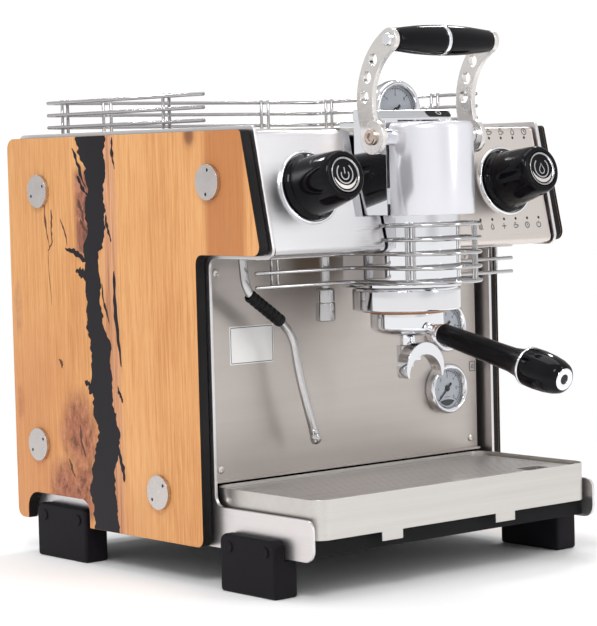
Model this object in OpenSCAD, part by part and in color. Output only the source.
// Home espresso machine with wood side panels, a lever over the brew group,
// two valve knobs, a steam wand and a slide-out drip tray.
// Units are millimetres. +Z is up, -Y is the front, X = 0 is the symmetry plane
// of the housing. Heights start at the surface that the feet stand on. Depths in
// the modules start at the bottom edge of the slanted front panel, and in_place()
// moves the whole machine so that its footprint is centred on the origin.

/* [Housing] */
// Width across the outer faces of the wood panels
wood_span = 366; // [330:1:420]
// Depth from the nose of the front panel to the back of the wood
body_d = 382; // [350:1:440]
// Height of the top edge of the wood panels
body_h = 397; // [385:1:440]
// Height of the underside of the head
head_z = 290; // [284:1:300]
// How far the top edge of the front panel leans back
nose_back = 24; // [10:1:34]
// Depth of the throat, from the nose to the lower front edge of the wood
throat_y = 90; // [84:1:100]
// Height of the bottom edge of the side panels
bottom_z = 34; // [28:1:38]
// Sheet steel thickness
sheet_t = 1.5; // [1:0.1:2]
// Clearance between pieces that move past each other
run_gap = 0.4; // [0.3:0.05:0.6]
// Radial clearance of a pin in its bearing
pin_gap = 0.05; // [0.02:0.01:0.09]

/* [Side panels] */
// Thickness of the wood face
wood_t = 2.5; // [2:0.5:6]
// Thickness of the black core board behind the wood
core_t = 7.5; // [5:0.5:12]
// Air gap between the core board and the steel side plate
panel_gap = 2; // [1:0.5:6]
// Thickness of the steel side plate
plate_t = 3; // [2:0.5:4]
// How far the steel plate stands past the wood at the top and the front
plate_lip = 3.5; // [2:0.5:6]
// Height of the top edge of the lower arm of the side plate
arm_top = 70; // [64:1:80]
// How far the lower arm reaches in front of the nose
arm_front = 44; // [38:1:50]
// Radius of the standoff discs
disc_r = 15.5; // [10:0.5:20]
// Thickness of the standoff discs
disc_t = 4; // [2:0.5:6]
// Radius of the standoff bolts
bolt_r = 4; // [3:0.5:6]

/* [Feet] */
// Width of the lower part of a foot
foot_w = 25; // [20:1:34]
// Height of a foot, with the ear outside the side plate
foot_h = 50.5; // [44:0.5:56]
// Length of a front foot
front_foot_l = 75; // [60:1:80]
// Length of a rear foot
rear_foot_l = 81; // [60:1:84]

/* [Drip tray] */
// Height of the rim of the drip tray
tray_top = 86; // [80:1:96]
// Height of the front apron of the tray
apron_h = 34.5; // [26:0.5:38]
// Depth of the grille below the rim
grille_drop = 3.5; // [2:0.5:6]
// Distance between the grille bars
bar_pitch = 6; // [5:0.5:8]
// Width of a grille bar
bar_w = 3; // [2:0.5:4]

/* [Knobs] */
// Distance of each knob from the middle
knob_x = 118; // [112:1:126]
// Height of each knob up the slanted panel
knob_w = 57.5; // [52:0.5:62]
// Radius of the knob skirt
knob_r = 29; // [24:0.5:31]
// Length of a knob in front of the panel
knob_l = 50; // [36:1:60]
// Radius of the valve spindle
spindle_r = 4; // [3:0.5:5]
// Travel of the push button in the left knob
button_travel = 2; // [1:0.5:3]

/* [Group] */
// Half the width of the chrome group housing
group_r = 40; // [36:0.5:44]
// Depth of the centre of the upper cover's round front
cover_y = -12; // [-16:1:-8]
// Depth of the centre of the group body's round front
body_y = 7; // [4:1:12]
// Depth of the brewing axis
brew_y = 20.5; // [18:0.5:24]
// Height of the joint between the group body and the upper cover
cover_z = 319.5; // [314:0.5:326]
// Height of the top of the upper cover
cover_top = 401; // [396:0.5:406]
// Radius of the bell that takes the portafilter
bell_r = 48.5; // [44:0.5:52]
// Height of the bell
bell_h = 21.2; // [18:0.1:24]
// Height of the bottom of the bell
bell_z = 234.8; // [232:0.1:238]

/* [Lever] */
// Depth of the lever pivot
pivot_y = -7; // [-9:0.5:-5]
// Height of the lever pivot
pivot_z = 388; // [384:0.5:390]
// Radius of the curved centre line of the lever arms
arm_r = 59; // [54:1:64]
// Distance of the inner face of each arm from the middle
arm_x = 57; // [52:0.5:60]
// Thickness of the arms
arm_t = 5; // [3:0.5:6]
// Width of the arms
arm_w = 20; // [16:0.5:22]
// Radius of the lever shaft
shaft_r = 5; // [4:0.5:6]
// Radius of the grip at its middle
grip_r = 13.4; // [11:0.2:15]
// Radius of the grip at its ends
grip_end_r = 9.6; // [8:0.2:11]

/* [Portafilter] */
// Radius of the portafilter collar
filter_r = 33; // [30:0.5:36]
// Angle of the handle below the horizontal
handle_tilt = 12.6; // [6:0.2:18]
// Length of the handle from its ferrule to its end
handle_l = 150; // [120:1:170]
// Radius of the slim part of the handle
handle_r = 9; // [8:0.5:12]
// Radius of the flared end of the handle
handle_end_r = 16.8; // [13:0.2:19]

/* [Gauges] */
// Radius of the bezel of the gauge on the group
brew_gauge_r = 27; // [22:0.5:29]
// Height of the centre of the gauge on the group
brew_gauge_z = 412; // [408:1:416]
// Radius of the bezels of the gauges on the backsplash
splash_gauge_r = 24; // [20:0.5:26]
// Distance of the backsplash gauges from the middle
splash_gauge_x = 119; // [110:1:126]
// Heights of the backsplash gauges
splash_gauge_z = [149.7, 208.8];

/* [Steam wand and water spout] */
// Distance of the wand's ball joint from the middle
wand_x = 147.5; // [143:0.5:150]
// Depth of the wand's ball joint
wand_y = 70; // [66:1:74]
// Radius of the wand tube
wand_r = 4; // [3:0.5:5]
// Radius of the wand's rubber grip
wand_grip_r = 6; // [5:0.5:8]
// Distance of the water spout from the middle
spout_x = 66; // [62:1:72]
// Depth of the water spout
spout_y = 55; // [52:1:64]

/* [Cup rail and wire guard] */
// Radius of the rail and guard wires
wire_r = 1.7; // [1:0.1:1.9]
// Distance between the wires of the cup rail
rail_pitch = 11.5; // [9:0.5:13]
// Distance between the wires of the guard
guard_pitch = 12.5; // [11:0.5:13]
// Height of the lowest wire of the guard
guard_z = 261; // [259:0.5:264]
// Distance of the end of a guard wing from the middle
guard_end_x = 155; // [140:1:160]
// Depth of the guard wings
guard_y = 42; // [38:1:46]

/* [Hidden] */
$fn = 96;
SMALL_FN = 32;

// Faces of the side assembly, from the outside in
wood_x = wood_span / 2;
core_x = wood_x - wood_t;
core_in_x = core_x - core_t;
plate_x = core_in_x - panel_gap;
inner_x = plate_x - plate_t;

// Front panel frame
panel_rise = body_h - head_z;
panel_lean = atan(nose_back / panel_rise);
panel_l = panel_rise / cos(panel_lean);
panel_x = inner_x - 2.3;
panel_roll_r = 5;
panel_flange = 12;
recess_x = 74;
cheek_gap = 2;
cheek_depth = 4.5;
cheek_roll = 4;
strip_h = (cover_z - head_z) / cos(panel_lean);

// Backsplash and chassis
splash_y = throat_y + 10.5;
splash_x = inner_x - 6;
splash_z0 = tray_top + 2;
splash_lip = 4;
splash_return = 5;
post_w = 16;
post_y = splash_y + sheet_t + splash_return;
deck_z = body_h - 7;
rear_y = body_d - 6;

// Foot places, from the nose
front_foot_y = -8;
rear_foot_y = 269;
notch_gap = 7;

// Standoff places on the side: [depth, height, turn of the two spanner holes]
disc_edge = 43;
STANDOFFS = [
  [body_d - 54, body_h - 50, 154], [67, body_h - 44, 98],
  [body_d - disc_edge, bottom_z + 73, 148], [throat_y + 60, bottom_z + 44, 140]
];
pin_r = 0.68 * disc_r;
pin_hole_r = 1.5;

// Tray
tray_x = inner_x - 4;
tray_front = arm_front - 1;
tray_wall = 1.6;
tray_r = 14;
tab_x = [-80, 56];
tab_w = 24;
tab_h = 8;
tray_z0 = tray_top - apron_h;
tray_back = splash_y - 1;
grille_x = tray_x - 4;
grille_t = 4;
finger_hole = [28, 18];

// Rear inlet, water spout and group housing
inlet_x = 110;
inlet_z = 75;
stem_r = 4.5;
stem_l = 34;
spout_z = 227;
aerator_h = 17;
aerator_r = 9;
housing_y = -1;
housing_back = 60;
housing_t = 2.5;
flare_x = arm_x - 1;
flare_y = housing_y + 1.5 * (flare_x - group_r);
flange_t = 2.5;
flange_back = 52;
gauge_front = brew_y + 3.5;
housing_top = cover_top + 2;
cover_back = housing_y - 4;
cap_z = brew_gauge_z;
cap_y0 = housing_y + 3;
cap_slope = 9;
guard_r = group_r + 4;
ear_z = bell_z + 4.6;
lug_h = 4;

// Boilers and water tank: the boiler lies between the front posts and the tank
boiler_t = 2;
brew_boiler_r = (housing_back - housing_y - housing_t) / 2 - 1.25;
tank_x = 140;
tank_l = 62;
tank_z0 = 130;
tank_t = 3;
tank_y0 = rear_y - 22 - tank_l;
boiler_r = 50;
boiler_x = [-110, 80];
boiler_y = post_y + 0.53 * (tank_y0 - post_y);
boiler_z = 255;
boiler_rim = 6;
hanger_x = [-70, 40];

// Pump and control box on the floor of the base pan
pump_r = 30;
pump_x = [-130, -20];
pump_y = rear_y - 126;
box_x = [0, 130];
box_y = [rear_y - 206, rear_y - 86];
box_z1 = bottom_z + 66;
inlet_w = 28;
inlet_h = 20;
inlet_lip = 3;

// Gauges
bezel_h = 10;
bezel_w = 6;
bezel_lap = 2;
gauge_case_l = 24;
dial_z = 2;
needle_r = 1.5;

// Knob end caps
cap_r = 15.5;
cap_floor = knob_l - 6;
barrel_r0 = knob_r - 3.8;
barrel_r1 = 21.4;

// Cup shelf and its rail
deck_t = 1.6;
cup_z0 = deck_z + deck_t + run_gap;
cup_z1 = body_h + 1;
cup_y0 = housing_back + 4;
rail_x = inner_x - 3;
rail_y0 = splash_y - 5;
rail_y1 = body_d - 46;
rail_z = [for (i = [0 : 2]) cup_z1 + 8.5 + i * rail_pitch];
rod_gap = 9;

// Lever
arm_a0 = -31;
arm_a1 = 63;
hole_angles = [4.5, 21.2, 37.9];
arm_hole_r = 5.2;
arc_y = pivot_y - arm_r * cos(arm_a0);
arc_z = pivot_z - arm_r * sin(arm_a0);
grip_y = arc_y + arm_r * cos(arm_a1);
grip_z = arc_z + arm_r * sin(arm_a1);
bearing_r = shaft_r + 2.5;
rod_r = 3;
arm_out = arm_x + arm_t;
bolt_head_t = 3;

// Portafilter
collar_h = 14.1;
collar_z = bell_z - 2 - collar_h;
rim_r = filter_r - 2;
rim_z = bell_z + 10.5;
ear_r = filter_r + 1.5;
handle_start = [0, brew_y - filter_r - 13, collar_z - 4];
handle_dy = cos(handle_tilt);
handle_dz = sin(handle_tilt);
handle_front_r = 11;
ring_l = handle_l - 42;
neck_l = 21;
lip_off = 23.5;
lip_l = 14;
lip_z = collar_z - 35.2;
lip_r = 22.5;
lip_bore_r = 19.3;
neck_r = 6.5;
front_y = handle_start[1] - handle_l * handle_dy - handle_front_r * handle_dz;

// The footprint's middle goes to the origin
place_y = -(body_d + front_y) / 2;

// Steam wand route in its plane: [distance from the ball's axis, height]
ball_z = head_z + 2;
ball_r = 8;
WAND = [[0, ball_z], [3.5, 256], [43.5, 227.5], [55.5, 213], [62, 178], [79, 121]];

function unit(v) = v / norm(v);
// Points of an outline whose corners [x, y, r] are rounded to radius r
function corner(a, b, c, r) =
  let (u = unit(a - b), v = unit(c - b), half = acos(u * v) / 2)
  let (m = b + unit(u + v) * r / sin(half))
  let (p = b + u * r / tan(half) - m, q = b + v * r / tan(half) - m)
  let (a0 = atan2(p[1], p[0]), turn = atan2(p[0] * q[1] - p[1] * q[0], p * q))
  [for (i = [0 : 6]) m + r * [cos(a0 + turn * i / 6), sin(a0 + turn * i / 6)]];
function xy(p) = [p[0], p[1]];
function rounded(pts) = [
  for (i = [0 : len(pts) - 1])
    let (n = len(pts), p = pts[i])
    each (p[2] == undef || p[2] == 0) ? [xy(p)]
      : corner(xy(pts[(i + n - 1) % n]), xy(p), xy(pts[(i + 1) % n]), p[2])
];
function rect(x0, y0, x1, y1, r) = rounded([[x0, y0, r], [x1, y0, r], [x1, y1, r], [x0, y1, r]]);

module in_place() translate([0, place_y, 0]) children();
module mirrored() mirror([1, 0, 0]) children();
module both_sides() {
  children();
  mirrored() children();
}
// Outline in the YZ plane, thickened from x0 in the +X direction
module yz_slab(pts, x0, t) translate([x0, 0, 0]) rotate([90, 0, 90]) linear_extrude(t) polygon(pts);
// Outline in the XZ plane, thickened from y0 in the +Y direction
module xz_slab(pts, y0, t) translate([0, y0 + t, 0]) rotate([90, 0, 0]) linear_extrude(t) polygon(pts);
// Outline in the XY plane, thickened upwards from z0
module xy_slab(pts, z0, t) translate([0, 0, z0]) linear_extrude(t) polygon(pts);
module block(p, q) translate(p) cube(q - p);
// Cylinders along X from x0 to x1, and along Y from y0 to y1
module x_rod(x0, x1, y, z, r) translate([x0, y, z]) rotate([0, 90, 0]) cylinder(h = x1 - x0, r = r);
module y_rod(y0, y1, x, z, r) translate([x, y1, z]) rotate([90, 0, 0]) cylinder(h = y1 - y0, r = r);
// Round bar between two points
module bar(p, q, r) {
  d = q - p;
  translate(p)
    rotate([0, acos(d[2] / norm(d)), atan2(d[1], d[0])])
      cylinder(h = norm(d), r = r);
}
// Frame of the slanted front panel: z runs up the panel and -y points out of it
module panel_frame() translate([0, 0, head_z]) rotate([-panel_lean, 0, 0]) children();
// Frame of a knob: z points out of the panel along the knob's axis
module knob_frame(side) panel_frame() translate([side * knob_x, 0, knob_w]) rotate([90, 0, 0]) children();

// ---- Side assembly ----
function side_outline(lip, front) = rounded([
  [body_d - lip / 2, bottom_z, 9],
  [body_d - lip / 2, body_h + lip, 10],
  [nose_back - front * 0.8, body_h + lip, 4],
  [-front, head_z - front, 8],
  [throat_y - front, head_z - front, 8],
  [throat_y - front, bottom_z, 8]
]);
function notch_outline() = rounded([
  [rear_foot_y - notch_gap, bottom_z - 20, 0],
  [rear_foot_y - notch_gap, foot_h + 9.5, 12],
  [rear_foot_y + rear_foot_l + 2 * notch_gap, foot_h + 9.5, 16],
  [rear_foot_y + rear_foot_l + 2 * notch_gap, bottom_z - 20, 0]
]);
module bolt_holes(x0, t)
  for (p = STANDOFFS)
    x_rod(x0 - 1, x0 + t + 1, p[0], p[1], bolt_r);

module panel_right(x0, t) difference() {
  yz_slab(side_outline(0, 0), x0, t);
  yz_slab(notch_outline(), x0 - 1, t + 2);
  bolt_holes(x0, t);
}
module wood_panel_right() in_place() color("peru") panel_right(core_x, wood_t);
module wood_panel_left() in_place() color("peru") mirrored() panel_right(core_x, wood_t);
module core_board_right() in_place() color("#1c1a1a") panel_right(core_in_x, core_t);
module core_board_left() in_place() color("#1c1a1a") mirrored() panel_right(core_in_x, core_t);

module plate_right() difference() {
  yz_slab(rounded([
    [body_d - 2, bottom_z, 9],
    [body_d - 2, body_h + plate_lip, 10],
    [nose_back - plate_lip * 0.8, body_h + plate_lip, 5],
    [-plate_lip, head_z - plate_lip, 9],
    [throat_y - plate_lip, head_z - plate_lip, 9],
    [throat_y - plate_lip, arm_top, 10],
    [-arm_front, arm_top, 9],
    [-arm_front, bottom_z, 11]
  ]), inner_x, plate_t);
  bolt_holes(inner_x, plate_t);
}
module side_plate_right() in_place() color("silver") plate_right();
module side_plate_left() in_place() color("silver") mirrored() plate_right();

module standoff(p) let (y = p[0], z = p[1], turn = p[2]) difference() {
  union() {
    x_rod(wood_x, wood_x + disc_t, y, z, disc_r);
    x_rod(inner_x, wood_x + 1, y, z, bolt_r);
    x_rod(plate_x, core_in_x, y, z, 2 * bolt_r);
    x_rod(inner_x - 5, inner_x, y, z, 2 * bolt_r);
  }
  for (s = [-1, 1])
    x_rod(
      wood_x + disc_t - 1.5, wood_x + disc_t + 1,
      y + s * pin_r * cos(turn), z + s * pin_r * sin(turn), pin_hole_r
    );
}
module standoffs() in_place() color("lightgray") both_sides()
  for (p = STANDOFFS) standoff(p);

// ---- Feet ----
module foot(y0, l) difference() {
  yz_slab(rounded([[y0, 0, 3], [y0 + l, 0, 3], [y0 + l, foot_h, 8], [y0, foot_h, 8]]),
    wood_x - foot_w, foot_w);
  block([wood_x - foot_w - 1, y0 - 1, bottom_z], [plate_x, y0 + l + 1, foot_h + 1]);
}
module foot_front_right() in_place() color("#202020") foot(front_foot_y, front_foot_l);
module foot_front_left() in_place() color("#202020") mirrored() foot(front_foot_y, front_foot_l);
module foot_rear_right() in_place() color("#202020") foot(rear_foot_y, rear_foot_l);
module foot_rear_left() in_place() color("#202020") mirrored() foot(rear_foot_y, rear_foot_l);
module foot_plugs() in_place() color("#303030") both_sides()
  for (f = [[front_foot_y, front_foot_l], [rear_foot_y, rear_foot_l]], s = [13, f[1] - 13])
    x_rod(wood_x, wood_x + 1, f[0] + s, foot_h - 11, 5);

// ---- Frame, pans and covers ----
module base_pan() in_place() color("#26262a") difference() {
  block([-inner_x, -arm_front + 14, bottom_z + 2], [inner_x, rear_y, bottom_z + 16]);
  block([-inner_x + sheet_t, -arm_front + 14 + sheet_t, bottom_z + 2 + sheet_t],
    [inner_x - sheet_t, rear_y - sheet_t, bottom_z + 17]);
}
module rear_panel() in_place() color("gray") difference() {
  xz_slab(rect(-inner_x, bottom_z + 2, inner_x, deck_z, 2), rear_y, sheet_t);
  inlet_block(inlet_w, inlet_h, rear_y - 1, rear_y + 3);
  // Cooling slots
  for (x = [-120 : 20 : 120])
    block([x - 3, rear_y - 1, body_h - 97], [x + 3, rear_y + 3, body_h - 47]);
}
module chassis() in_place() color("dimgray") {
  // Four corner posts, tied at the top
  both_sides() {
    block([inner_x - post_w, post_y, bottom_z + 16], [inner_x, post_y + 2, deck_z]);
    block([inner_x - 2, post_y, bottom_z + 16], [inner_x, post_y + post_w, deck_z]);
    block([inner_x - post_w, rear_y - 2, bottom_z + 16], [inner_x, rear_y, deck_z]);
    block([inner_x - 2, rear_y - post_w, bottom_z + 16], [inner_x, rear_y, deck_z]);
    block([inner_x - 2, post_y, deck_z - post_w], [inner_x, rear_y, deck_z]);
  }
  block([-inner_x, post_y, deck_z - post_w], [inner_x, post_y + 2, deck_z]);
  block([-inner_x, post_y, head_z], [inner_x, post_y + 2, head_z + post_w]);
  // Brackets that carry the group, and the shelf under the water tank
  both_sides()
    for (z = [head_z + 2, deck_z - post_w])
      block([group_r - 4, housing_back, z], [group_r, post_y + 1, z + 12]);
  block([-inner_x, tank_y0 - 2, tank_z0 - 2], [inner_x, rear_y, tank_z0]);
  block([-inner_x, rear_y - 2, deck_z - post_w], [inner_x, rear_y, deck_z]);
}

module backsplash() in_place() color("#b9b4ae") difference() {
  union() {
    difference() {
      xz_slab(rect(-splash_x, splash_z0, splash_x, head_z - 2, 3), splash_y, sheet_t + splash_return);
      block([-splash_x + sheet_t, splash_y + sheet_t, splash_z0 + sheet_t],
        [splash_x - sheet_t, post_y + 1, head_z - 2 - sheet_t]);
    }
    block([-splash_x, splash_y - splash_lip, splash_z0], [splash_x, splash_y + sheet_t, splash_z0 + 2]);
  }
  for (z = splash_gauge_z)
    y_rod(splash_y - 1, post_y + 1, splash_gauge_x, z, splash_gauge_r - bezel_lap);
  for (p = screw_places())
    y_rod(splash_y - 1, splash_y + sheet_t + 1, p[0], p[1], 2);
}
function screw_places() = [
  for (x = [-splash_x + 9, splash_x - 9], z = [splash_z0 + 11, head_z - 17]) [x, z]
];
module backsplash_screws() in_place() color("silver")
  for (p = screw_places()) {
    y_rod(splash_y - 1.6, splash_y, p[0], p[1], 3.6);
    y_rod(splash_y - 1, post_y, p[0], p[1], 2);
  }

module panel_profile() rotate([90, 0, 90]) linear_extrude(2 * panel_x) polygon(rounded([
  [panel_flange, 0], [0, 0, panel_roll_r], [0, panel_l, panel_roll_r], [panel_flange, panel_l],
  [panel_flange, panel_l - sheet_t], [sheet_t, panel_l - sheet_t, panel_roll_r - sheet_t],
  [sheet_t, sheet_t, panel_roll_r - sheet_t], [panel_flange, sheet_t]
]));
module front_panel() in_place() color("#c9c7c4") panel_frame() {
  difference() {
    translate([-panel_x, 0, 0]) panel_profile();
    block([-recess_x, -1, strip_h], [recess_x, panel_flange + 1, panel_l + 1]);
    block([-group_r - cheek_gap, -1, -1], [group_r + cheek_gap, panel_flange + 1, panel_l + 1]);
    for (s = [-1, 1])
      translate([s * knob_x, 0, knob_w])
        rotate([90, 0, 0])
          translate([0, 0, -5])
            cylinder(h = 10, r = spindle_r + 2);
  }
  // Angled cheeks lead from the panel to the group, and tabs reach the side plates
  both_sides() {
    for (z = [20, 70])
      block([panel_x - 1, panel_flange - 4, z], [inner_x, panel_flange, z + 16]);
    for (z = [20, 70])
      block([panel_x - 1, sheet_t / 2, z], [panel_x, panel_flange, z + 16]);
    translate([0, 0, strip_h]) linear_extrude(panel_l - strip_h - 2) polygon(rounded([
      [recess_x, 0], [recess_x, sheet_t], [recess_x - cheek_roll, sheet_t, 4],
      [flare_x + cheek_gap, cheek_depth + sheet_t], [flare_x + cheek_gap, cheek_depth],
      [recess_x - cheek_roll, 0, 6]
    ]));
    translate([0, 0, strip_h - sheet_t]) linear_extrude(sheet_t) polygon([
      [recess_x, 0], [recess_x, sheet_t], [recess_x - cheek_roll, sheet_t + 1],
      [flare_x + cheek_gap, cheek_depth + sheet_t], [group_r + cheek_gap, cheek_depth + sheet_t],
      [group_r + cheek_gap, 0]
    ]);
  }
}

module head_floor() in_place() color("#8d8a87") difference() {
  xy_slab(rect(-inner_x, panel_flange + 1.5, inner_x, splash_y + sheet_t, 1), head_z - 2, 2);
  block([-group_r - 1, 0, head_z - 3], [group_r + 1, housing_back + 1, head_z + 1]);
  translate([-wand_x, wand_y, head_z - 3]) cylinder(h = 4, r = ball_r + run_gap);
  translate([-spout_x, spout_y, head_z - 3]) cylinder(h = 4, r = stem_r);
}
module top_deck() in_place() color("#9b9894") difference() {
  xy_slab(rect(-inner_x, nose_back + panel_flange + 3, inner_x, rear_y + sheet_t, 1), deck_z, deck_t);
  block([-group_r - 1, 0, deck_z - 1], [group_r + 1, housing_back + 2, deck_z + 3]);
}

module cup_tray() in_place() color("#aaa7a3") difference() {
  xy_slab(rect(-inner_x + 1, cup_y0, inner_x - 1, rear_y - 2, 4), cup_z0, cup_z1 - cup_z0);
  xy_slab(rect(-inner_x + 3, cup_y0 + 2, inner_x - 3, rear_y - 4, 3), cup_z0 - 1,
    cup_z1 - cup_z0 + 1 - sheet_t);
  // Rows of air slots
  for (y = [cup_y0 + 24 : 24 : rear_y - 60], x = [-120 : 60 : 120])
    block([x - 20, y - 3, cup_z0 - 1], [x + 20, y + 3, cup_z1 + 1]);
}

module cup_rail() in_place() color("lightgray") {
  $fn = SMALL_FN;
  for (z = rail_z) {
    for (s = [-1, 1])
      y_rod(rail_y0, rail_y1, s * rail_x, z, wire_r);
    x_rod(-rail_x, rail_x, rail_y1, z, wire_r);
    for (s = [-1, 1])
      translate([s * rail_x, rail_y1, z]) sphere(wire_r);
  }
  for (s = [-1, 1], y = [rail_y0 + 52, rail_y1 - 30], d = [0, rod_gap])
    rail_post(s * (rail_x - 1.6), y + d);
  for (x = [-98, 98], d = [0, rod_gap])
    rail_post(x + d - rod_gap / 2, rail_y1 - 1.6);
}
module rail_post(x, y) translate([x, y, cup_z1]) cylinder(h = rail_z[2] - cup_z1 + 2.5, r = wire_r * 0.9);

// ---- Wire guard round the group ----
module guard_front(z) translate([0, cover_y, z]) rotate([0, 0, 180])
  rotate_extrude(angle = 180) translate([guard_r, 0]) circle(wire_r);
module wire_guard() in_place() color("lightgray") {
  $fn = SMALL_FN;
  wing_back = guard_y - 6;
  for (i = [0 : 4]) {
    z = guard_z + i * guard_pitch;
    guard_front(z);
    if (z + wire_r < head_z) both_sides() {
      y_rod(cover_y, wing_back, guard_r, z, wire_r);
      bar([guard_r, wing_back, z], [guard_r + 6, guard_y, z], wire_r);
      x_rod(guard_r + 6, guard_end_x, guard_y, z, wire_r);
      translate([guard_r, wing_back, z]) sphere(wire_r);
      translate([guard_r + 6, guard_y, z]) sphere(wire_r);
    }
    else both_sides() {
      y_rod(cover_y, (z - head_z - wire_r) * tan(panel_lean) - pin_gap, guard_r, z, wire_r);
      translate([guard_r, cover_y, z]) sphere(wire_r + 0.2);
    }
  }
  top = guard_z + 4 * guard_pitch;
  both_sides() {
    // Upright pairs on the round front and on the wings
    for (a = [18.7, 27.7])
      translate([guard_r * cos(a) - 1.4, cover_y - guard_r * sin(a) + 1.2, guard_z - 2])
        cylinder(h = top - guard_z + 4, r = wire_r * 0.85);
    for (x = [guard_end_x - 26, guard_end_x - 19])
      translate([x, guard_y + 1.8, guard_z - 2]) cylinder(h = head_z - guard_z, r = wire_r * 0.85);
  }
}

// ---- Brew group ----
// Upright shell with flat sides and a round front
module u_shell(r, yc, y1, z0, z1) translate([0, 0, z0]) {
  translate([0, yc, 0]) difference() {
    cylinder(h = z1 - z0, r = r);
    translate([-r - 1, 0, -1]) cube([2 * r + 2, r + 1, z1 - z0 + 2]);
  }
  translate([-r, yc, 0]) cube([2 * r, y1 - yc, z1 - z0]);
}
module group_housing() in_place() color("gainsboro") difference() {
  union() {
    difference() {
      block([-group_r, housing_y, cover_z], [group_r, housing_back, housing_top]);
      block([-group_r + housing_t, housing_y + housing_t, cover_z - 1],
        [group_r - housing_t, housing_back + 1, housing_top - housing_t]);
    }
    // Lever bearing and the pads that carry the cover
    x_rod(-arm_x + run_gap, arm_x - run_gap, pivot_y, pivot_z, bearing_r);
    block([-group_r + 4, pivot_y, pivot_z - 7], [group_r - 4, housing_y, pivot_z + 7]);
    both_sides()
      block([group_r - 8, cover_y + 1, cover_z + 10], [group_r - 2, housing_y, cover_z + 24]);
    // Flared sides behind the cover, closed at the top
    both_sides() {
      xy_slab(flare_outline(1.2 * sheet_t), cover_z + run_gap, housing_top - cover_z - run_gap);
      xy_slab(flare_outline(flare_x - group_r + 1), housing_top - sheet_t, sheet_t);
    }
  }
  x_rod(-arm_x, arm_x, pivot_y, pivot_z, shaft_r + pin_gap);
  // Seat of the gauge: its bezel lies in the wide part, and its case fills the rest
  y_rod(housing_y - 1, gauge_front + bezel_h + run_gap, 0, brew_gauge_z, brew_gauge_r + run_gap);
  y_rod(gauge_front, housing_back + 1, 0, brew_gauge_z, brew_gauge_r - bezel_lap);
}

// Plan of a flared side: a strip that is t wide in X
function flare_outline(t) = [
  [group_r - 1, housing_y], [group_r, housing_y], [flare_x, flare_y],
  [max(flare_x - t, group_r - 1), flare_y], [group_r - 1, housing_y + min(1.5 * t, flare_y - housing_y)]
];

module group_cover() in_place() color("gainsboro") difference() {
  u_shell(group_r, cover_y, cover_back, cover_z, cover_top);
  u_shell(group_r - 2, cover_y, cover_back + 1, cover_z - 1, cover_top - 2);
  x_rod(-group_r - 1, group_r + 1, pivot_y, pivot_z, bearing_r + 0.6);
  block([-group_r - 1, pivot_y, pivot_z - bearing_r - 0.6],
    [group_r + 1, cover_back + 1, pivot_z + bearing_r + 0.6]);
}

// Bar with a sloped front along the top of the housing, in front of the gauge
module group_cap() in_place() color("gainsboro") intersection() {
  yz_slab(rounded([
    [cap_y0, housing_top], [cap_y0, housing_top + 2, 2], [cap_y0 + cap_slope, cap_z, 3],
    [gauge_front - run_gap, cap_z, 1], [gauge_front - run_gap, housing_top]
  ]), -flare_x, 2 * flare_x);
  translate([0, 0, housing_top]) linear_extrude(cap_z) polygon([
    [-group_r, housing_y], [group_r, housing_y], [flare_x, flare_y],
    [flare_x, gauge_front], [-flare_x, gauge_front], [-flare_x, flare_y]
  ]);
}

module group_body() in_place() color("gainsboro") difference() {
  union() {
    u_shell(group_r, body_y, housing_back, bell_z + bell_h, cover_z);
    u_shell(bell_r, brew_y, flange_back, bell_z + bell_h, bell_z + bell_h + flange_t);
  }
  u_shell(group_r - 4, body_y, housing_back + 1, bell_z + bell_h + 4, cover_z + 1);
}

module group_bell() in_place() color("gainsboro") translate([0, brew_y, bell_z]) difference() {
  rotate_extrude() polygon(rounded([
    [0, bell_h - 0.2], [bell_r - 2, bell_h - 0.2, 0], [bell_r, bell_h - 2.2], [bell_r, 0],
    [rim_r + 0.5, 0], [rim_r + 0.5, lug_h], [ear_r + 0.5, lug_h], [ear_r + 0.5, bell_h - 4], [0, bell_h - 4]
  ]));
  // Ways in for the ears of the portafilter
  intersection() {
    translate([0, 0, -1]) cylinder(h = lug_h + 2, r = ear_r + 0.5);
    for (a = [135, 315])
      rotate([0, 0, a]) translate([0, -11, -1]) cube([ear_r + 2, 22, lug_h + 2]);
  }
}
module seal_ring() in_place() color("#b07a55") translate([0, brew_y, bell_z - 1.4]) difference() {
  cylinder(h = 1.4, r = filter_r + 7);
  translate([0, 0, -1]) cylinder(h = 4, r = rim_r + 0.6);
}
module shower_screen() in_place() color("silver") translate([0, brew_y, bell_z + 14.2])
  difference() {
    cylinder(h = 3, r = rim_r - 4);
    translate([0, 0, -1]) cylinder(h = 2.6, r = rim_r - 6);
  }
module group_boiler() in_place() color("#b58a4c")
  translate([0, housing_back - 1 - brew_boiler_r, bell_z + bell_h + 4]) difference() {
    boiler_l = brew_gauge_z - brew_gauge_r - bell_z - bell_h - 10;
    cylinder(h = boiler_l, r = brew_boiler_r);
    translate([0, 0, boiler_t]) cylinder(h = boiler_l - 2 * boiler_t, r = brew_boiler_r - boiler_t);
  }

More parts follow.
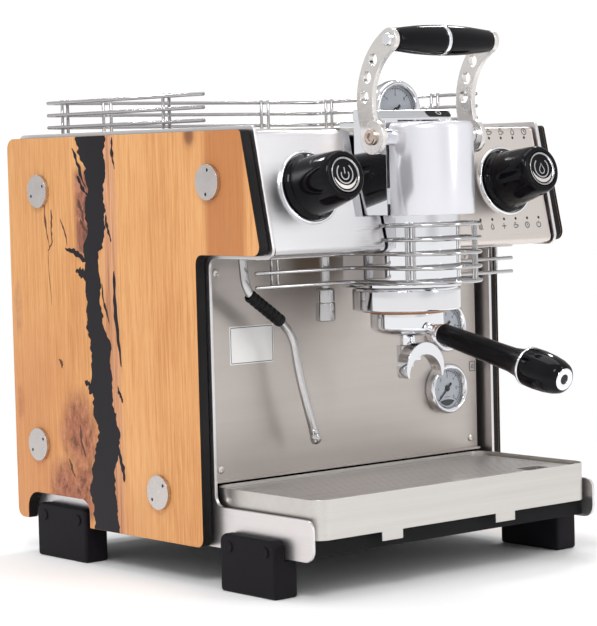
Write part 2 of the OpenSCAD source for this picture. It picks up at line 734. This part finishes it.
// ---- Gauges: z points out of the dial ----
module gauge_case(r) difference() {
  union() {
    translate([0, 0, -gauge_case_l]) cylinder(h = gauge_case_l + 1, r = r - bezel_lap);
    rotate_extrude()
      polygon([[0, 0], [r - 1, 0], [r, 1], [r, bezel_h - 2], [r - 1.5, bezel_h], [0, bezel_h]]);
  }
  translate([0, 0, dial_z]) cylinder(h = bezel_h, r = r - bezel_w);
  translate([0, 0, -5]) cylinder(h = 8, r = needle_r + pin_gap);
}
module gauge_dial(r) difference() {
  translate([0, 0, dial_z]) cylinder(h = 0.8, r = r - bezel_w);
  translate([0, 0, 1]) cylinder(h = 3, r = needle_r + pin_gap);
}
module gauge_glass(r) translate([0, 0, bezel_h - 3]) cylinder(h = 1.2, r = r - bezel_w);
// The needle points to the start of the scale, lower left
module gauge_needle(r) {
  translate([0, 0, -4]) cylinder(h = 9, r = needle_r);
  translate([0, 0, 3.2]) cylinder(h = 1.8, r = 3);
  translate([0, 0, 3.6]) rotate([0, 0, 225]) linear_extrude(0.8)
    polygon([[-6, -1.1], [r - 8, -0.5], [r - 8, 0.5], [-6, 1.1]]);
}
module at_brew_gauge() translate([0, gauge_front + bezel_h, brew_gauge_z]) rotate([90, 0, 0]) children();
module at_splash_gauge(i) translate([splash_gauge_x, splash_y, splash_gauge_z[i]])
  rotate([90, 0, 0]) children();
module gauge_cases() in_place() color("silver") {
  at_brew_gauge() gauge_case(brew_gauge_r);
  for (i = [0, 1]) at_splash_gauge(i) gauge_case(splash_gauge_r);
}
module gauge_dials() in_place() color("white") {
  at_brew_gauge() gauge_dial(brew_gauge_r);
  for (i = [0, 1]) at_splash_gauge(i) gauge_dial(splash_gauge_r);
}
module gauge_glasses() in_place() color("lightblue", 0.4) {
  at_brew_gauge() gauge_glass(brew_gauge_r);
  for (i = [0, 1]) at_splash_gauge(i) gauge_glass(splash_gauge_r);
}
module needle_brew() in_place() color("#202020") at_brew_gauge() gauge_needle(brew_gauge_r);
module needle_lower() in_place() color("#202020") at_splash_gauge(0) gauge_needle(splash_gauge_r);
module needle_upper() in_place() color("#202020") at_splash_gauge(1) gauge_needle(splash_gauge_r);

// ---- Lever ----
function arc_pts(r, a0, a1) = [
  for (i = [0 : 16])
    let (a = a0 + (a1 - a0) * i / 16) [arc_y + r * cos(a), arc_z + r * sin(a)]
];
module lever_arm() difference() {
  union() {
    yz_slab(concat(
      arc_pts(arm_r + arm_w / 2, arm_a0, arm_a1), arc_pts(arm_r - arm_w / 2, arm_a1, arm_a0)
    ), arm_x, arm_t);
    x_rod(arm_x, arm_out, pivot_y, pivot_z, arm_w * 0.75);
    x_rod(arm_x, arm_out, grip_y, grip_z, arm_w / 2);
  }
  x_rod(arm_x - 1, arm_out + 1, pivot_y, pivot_z, shaft_r);
  x_rod(arm_x - 1, arm_out + 1, grip_y, grip_z, rod_r);
  for (a = hole_angles)
    x_rod(arm_x - 1, arm_x + arm_t + 1, arc_y + arm_r * cos(a), arc_z + arm_r * sin(a), arm_hole_r);
}
module lever_arms() in_place() color("silver") both_sides() lever_arm();
module lever_shaft() in_place() color("#cdbfb4") {
  x_rod(-arm_out, arm_out, pivot_y, pivot_z, shaft_r);
  both_sides() x_rod(arm_out, arm_out + bolt_head_t, pivot_y, pivot_z, shaft_r + 2);
  x_rod(arm_out + bolt_head_t, arm_out + bolt_head_t + 4, pivot_y, pivot_z, shaft_r + 1);
}
module grip_half(x0, x1) translate([x0, grip_y, grip_z]) rotate([0, 90, 0]) difference() {
  rotate_extrude() polygon([
    for (i = [0 : 12])
      let (u = i / 12) [grip_r - (grip_r - grip_end_r) * u * u, u * (x1 - x0)],
    [0, x1 - x0], [0, 0]
  ]);
  translate([0, 0, -1]) cylinder(h = x1 - x0 + 2, r = rod_r);
}
module lever_grip() in_place() color("#141416") both_sides() grip_half(2, arm_x);
module lever_grip_rod() in_place() color("silver") {
  x_rod(-arm_out, arm_out, grip_y, grip_z, rod_r);
  x_rod(-2, 2, grip_y, grip_z, grip_r + 0.2);
  both_sides() x_rod(arm_out, arm_out + bolt_head_t, grip_y, grip_z, shaft_r + 1);
}

// ---- Knobs and valves ----
module knob(stem_bore) difference() {
  rotate_extrude() polygon([
    [0, -30], [spindle_r, -30], [spindle_r, run_gap], [knob_r - 0.6, run_gap],
    [knob_r, 1], [knob_r, 4.5], [knob_r - 1.5, 6], [barrel_r0 + 0.8, 8], [barrel_r0, 11],
    [barrel_r1, knob_l - 4], [barrel_r1 - 0.8, knob_l - 1.2], [barrel_r1 - 2, knob_l], [cap_r + 0.5, knob_l],
    [cap_r + 0.5, cap_floor], [0, cap_floor]
  ]);
  if (stem_bore)
    translate([0, 0, cap_floor - 14]) cylinder(h = 20, r = 3 + pin_gap);
}
module knob_left() in_place() color("#141416") knob_frame(-1) knob(true);
module knob_right() in_place() color("#141416") knob_frame(1) knob(false);
module knob_button() in_place() color("silver") knob_frame(-1) {
  translate([0, 0, cap_floor + button_travel + run_gap])
    cylinder(h = knob_l + 0.6 - cap_floor - button_travel - run_gap, r = cap_r + 0.1);
  translate([0, 0, cap_floor - 11]) cylinder(h = 14, r = 3);
}
module knob_cap_right() in_place() color("silver") knob_frame(1)
  translate([0, 0, cap_floor]) cylinder(h = knob_l + 0.6 - cap_floor, r = cap_r + 0.5);
module knob_bezels() in_place() color("silver")
  for (s = [-1, 1]) knob_frame(s) difference() {
    cylinder(h = 3, r = knob_r + 3.5);
    translate([0, 0, -1]) cylinder(h = 5, r = knob_r + 0.5);
  }
module valve_bodies() in_place() color("#b58a4c")
  for (s = [-1, 1]) knob_frame(s) difference() {
    union() {
      translate([0, 0, -38]) cylinder(h = 38 - sheet_t, r = 12);
      translate([0, 0, -30]) rotate([0, 90, s < 0 ? 0 : 180]) cylinder(h = 22, r = 6);
    }
    translate([0, 0, -31]) cylinder(h = 40, r = spindle_r + pin_gap);
  }

// ---- Steam wand and water spout ----
module wand_frame() translate([-wand_x, wand_y, 0]) children();
function wand_pt(i) = [WAND[i][0], 0, WAND[i][1]];
module wand_socket() in_place() color("silver") wand_frame() difference() {
  translate([0, 0, head_z]) cylinder(h = 14, r = 12.5);
  translate([0, 0, ball_z]) sphere(ball_r + 0.3);
  translate([0, 0, head_z - 1]) cylinder(h = 3, r = ball_r - 0.4);
}
module wand_tube() in_place() color("silver") wand_frame() difference() {
  $fn = SMALL_FN;
  union() {
    translate([0, 0, ball_z]) sphere(ball_r);
    for (i = [0 : len(WAND) - 2]) {
      bar(wand_pt(i), wand_pt(i + 1), wand_r);
      translate(wand_pt(i + 1)) sphere(wand_r + (i == len(WAND) - 2 ? 1 : 0.2));
    }
  }
  block([-20, -20, ball_z + 6], [20, 20, ball_z + 12]);
}
module wand_grip() in_place() color("#1a1a1a") wand_frame() {
  d = unit(wand_pt(2) - wand_pt(1));
  difference() {
    bar(wand_pt(1) + d * wand_grip_r * 0.7, wand_pt(2) - d, wand_grip_r);
    bar(wand_pt(1) - d, wand_pt(2) + d * 2, wand_r);
  }
}
module water_spout() in_place() color("silver") translate([-spout_x, spout_y, 0]) difference() {
  union() {
    translate([0, 0, head_z - stem_l]) cylinder(h = stem_l + 2, r = stem_r);
    translate([0, 0, head_z]) cylinder(h = 4, r = 2 * stem_r);
    translate([0, 0, spout_z + aerator_h - 1])
      cylinder(h = head_z - stem_l - spout_z - aerator_h + 1, r = aerator_r - 0.4);
    translate([0, 0, spout_z]) cylinder(h = aerator_h, r = aerator_r);
  }
  translate([0, 0, spout_z - 1]) cylinder(h = 40, r = 3);
}

// ---- Portafilter: its axis is the brewing axis ----
module on_brew_axis() translate([0, brew_y, 0]) children();
module portafilter_head() in_place() color("gainsboro") difference() {
  union() {
    on_brew_axis() rotate_extrude() polygon([
      [0, collar_z - 10], [12, collar_z - 9], [filter_r - 4, collar_z - 4], [filter_r, collar_z],
      [filter_r, bell_z - 2], [rim_r, bell_z - 1.8], [rim_r, rim_z], [0, rim_z]
    ]);
    // Locking ears and the outlet
    on_brew_axis() intersection() {
      translate([0, 0, ear_z]) cylinder(h = 4, r = ear_r);
      block([-ear_r - 1, -9, ear_z - 1], [ear_r + 1, 9, ear_z + 5]);
    }
    on_brew_axis() translate([0, 0, collar_z - 16]) cylinder(h = 8, r = 7);
    handle_frame() translate([0, 0, -neck_l]) cylinder(h = neck_l, r = neck_r);
  }
  on_brew_axis() {
    translate([0, 0, collar_z - 3]) cylinder(h = 60, r = rim_r - 2);
    translate([0, 0, collar_z - 20]) cylinder(h = 20, r = 3);
  }
}
module portafilter_spout() in_place() color("gainsboro") difference() {
  union() {
    y_rod(brew_y - lip_off, brew_y - lip_off + lip_l, 0, lip_z, lip_r);
    block([-8, brew_y - lip_off + lip_l - 1, lip_z + 5.5], [8, brew_y + 6, collar_z - 16]);
  }
  y_rod(brew_y - lip_off - 1, brew_y - lip_off + lip_l + 1, 0, lip_z - 7.5, lip_bore_r);
  block([-lip_r - 8, brew_y - lip_off - 2, lip_z - 34],
    [lip_r + 8, brew_y - lip_off + lip_l + 1, lip_z - 8.5]);
}
module handle_frame() translate(handle_start) rotate([90 + handle_tilt, 0, 0]) children();
module portafilter_handle() in_place() color("#141414") handle_frame() difference() {
  rotate_extrude() polygon([
    [0, 0], [handle_r, 0], [handle_r + 0.6, 2], [handle_r + 1.2, 70], [handle_r + 2, ring_l - 18],
    [handle_end_r - 1, ring_l - 2], [handle_end_r, ring_l], [handle_end_r + 0.4, ring_l + 12],
    [handle_end_r - 1.6, handle_l - 12], [handle_end_r - 4.2, handle_l - 3],
    [handle_front_r, handle_l], [0, handle_l]
  ]);
  translate([0, 0, handle_l - 2]) cylinder(h = 3, r = 4);
}
module filter_basket() in_place() color("silver") on_brew_axis() difference() {
  union() {
    translate([0, 0, collar_z + 4]) cylinder(h = rim_z - collar_z - 4, r = rim_r - 2.5);
    translate([0, 0, rim_z]) cylinder(h = 0.8, r = rim_r);
  }
  translate([0, 0, collar_z + 5]) cylinder(h = 40, r = rim_r - 3.3);
}

// ---- Drip tray ----
function tray_plan(in) = rect(-tray_x + in, -tray_front + in, tray_x - in, tray_back - in, tray_r - in);
module drip_tray() in_place() color("#c4c1bd") {
  difference() {
    xy_slab(tray_plan(0), tray_z0, apron_h);
    xy_slab(tray_plan(tray_wall), tray_z0 + tray_wall, apron_h);
  }
  // Tabs below the apron
  for (x = tab_x)
    block([x - tab_w / 2, -tray_front, tray_z0 - tab_h],
      [x + tab_w / 2, -tray_front + tray_wall, tray_z0 + tray_wall]);
}
module drip_grille() in_place() color("#8f8c88") {
  z1 = tray_top - grille_drop;
  y0 = -tray_front + 6;
  y1 = tray_back - 4;
  hole_x1 = grille_x - 26;
  hole_y0 = y0 + 14;
  difference() {
    xy_slab(rect(-grille_x, y0, grille_x, y1, tray_r - 6), z1 - grille_t, grille_t);
    for (y = [y0 + bar_pitch : bar_pitch : y1 - bar_pitch])
      if (y < hole_y0 - bar_w || y > hole_y0 + finger_hole[1] + bar_w)
        block([-grille_x + 5, y, z1 - grille_t - 1], [grille_x - 5, y + bar_pitch - bar_w, z1 + 1]);
      else
        block([-grille_x + 5, y, z1 - grille_t - 1],
          [hole_x1 - finger_hole[0] - 4, y + bar_pitch - bar_w, z1 + 1]);
    xy_slab(rect(hole_x1 - finger_hole[0], hole_y0, hole_x1, hole_y0 + finger_hole[1], 4),
      z1 - grille_t - 1, grille_t + 2);
  }
  // Legs on the tray floor
  for (x = [-grille_x + 12, 0, grille_x - 12], y = [y0 + 3, y1 - 3])
    block([x - 3, y - 2, tray_z0 + tray_wall + 0.1], [x + 3, y + 2, z1 - grille_t]);
}

// ---- Inside the housing ----
module steam_boiler() in_place() color("#b58a4c") {
  difference() {
    union() {
      x_rod(boiler_x[0], boiler_x[1], boiler_y, boiler_z, boiler_r);
      for (x = [boiler_x[0] - boiler_rim, boiler_x[1]])
        x_rod(x, x + boiler_rim, boiler_y, boiler_z, boiler_r + boiler_rim);
    }
    x_rod(boiler_x[0], boiler_x[1], boiler_y, boiler_z, boiler_r - boiler_t);
  }
  // Hangers under the deck
  for (x = hanger_x) {
    block([x - 8, boiler_y - 15, deck_z - post_w], [x + 8, boiler_y + 15, deck_z]);
    block([x - 3, boiler_y - 5, boiler_z + boiler_r - 5], [x + 3, boiler_y + 5, deck_z - post_w + 1]);
  }
}
module water_tank() in_place() color("#9fb4c4") difference() {
  block([-tank_x, tank_y0, tank_z0], [tank_x, tank_y0 + tank_l, deck_z - post_w - 3]);
  block([-tank_x + tank_t, tank_y0 + tank_t, tank_z0 + tank_t],
    [tank_x - tank_t, tank_y0 + tank_l - tank_t, deck_z - post_w - 3 - tank_t]);
}
module inlet_block(w, h, y0, y1)
  block([inlet_x - w / 2, y0, inlet_z - h / 2], [inlet_x + w / 2, y1, inlet_z + h / 2]);
module service_block() in_place() color("#303236") difference() {
  pan_z = bottom_z + 2 + sheet_t;
  union() {
    // Pump, control box and the socket for the power lead
    x_rod(pump_x[0], pump_x[1], pump_y, pan_z + pump_r, pump_r);
    block([box_x[0], box_y[0], pan_z], [box_x[1], box_y[1], box_z1]);
    inlet_block(inlet_w - 2 * run_gap, inlet_h - 2 * run_gap, rear_y - 22, rear_y + 3);
    inlet_block(inlet_w + 2 * inlet_lip, inlet_h + 2 * inlet_lip, rear_y + sheet_t, rear_y + 3.5);
  }
  inlet_block(inlet_w - 2 * inlet_lip, inlet_h - 2 * inlet_lip, rear_y - 12, rear_y + 6);
}

wood_panel_left();
wood_panel_right();
core_board_left();
core_board_right();
side_plate_left();
side_plate_right();
standoffs();
foot_front_left();
foot_front_right();
foot_rear_left();
foot_rear_right();
foot_plugs();
base_pan();
rear_panel();
chassis();
backsplash();
backsplash_screws();
front_panel();
head_floor();
top_deck();
cup_tray();
cup_rail();
wire_guard();
group_housing();
group_cover();
group_cap();
group_body();
group_bell();
seal_ring();
shower_screen();
group_boiler();
gauge_cases();
gauge_dials();
gauge_glasses();
needle_brew();
needle_upper();
needle_lower();
lever_arms();
lever_shaft();
lever_grip();
lever_grip_rod();
knob_left();
knob_button();
knob_right();
knob_cap_right();
knob_bezels();
valve_bodies();
wand_socket();
wand_tube();
wand_grip();
water_spout();
portafilter_head();
portafilter_spout();
portafilter_handle();
filter_basket();
drip_tray();
drip_grille();
steam_boiler();
water_tank();
service_block();
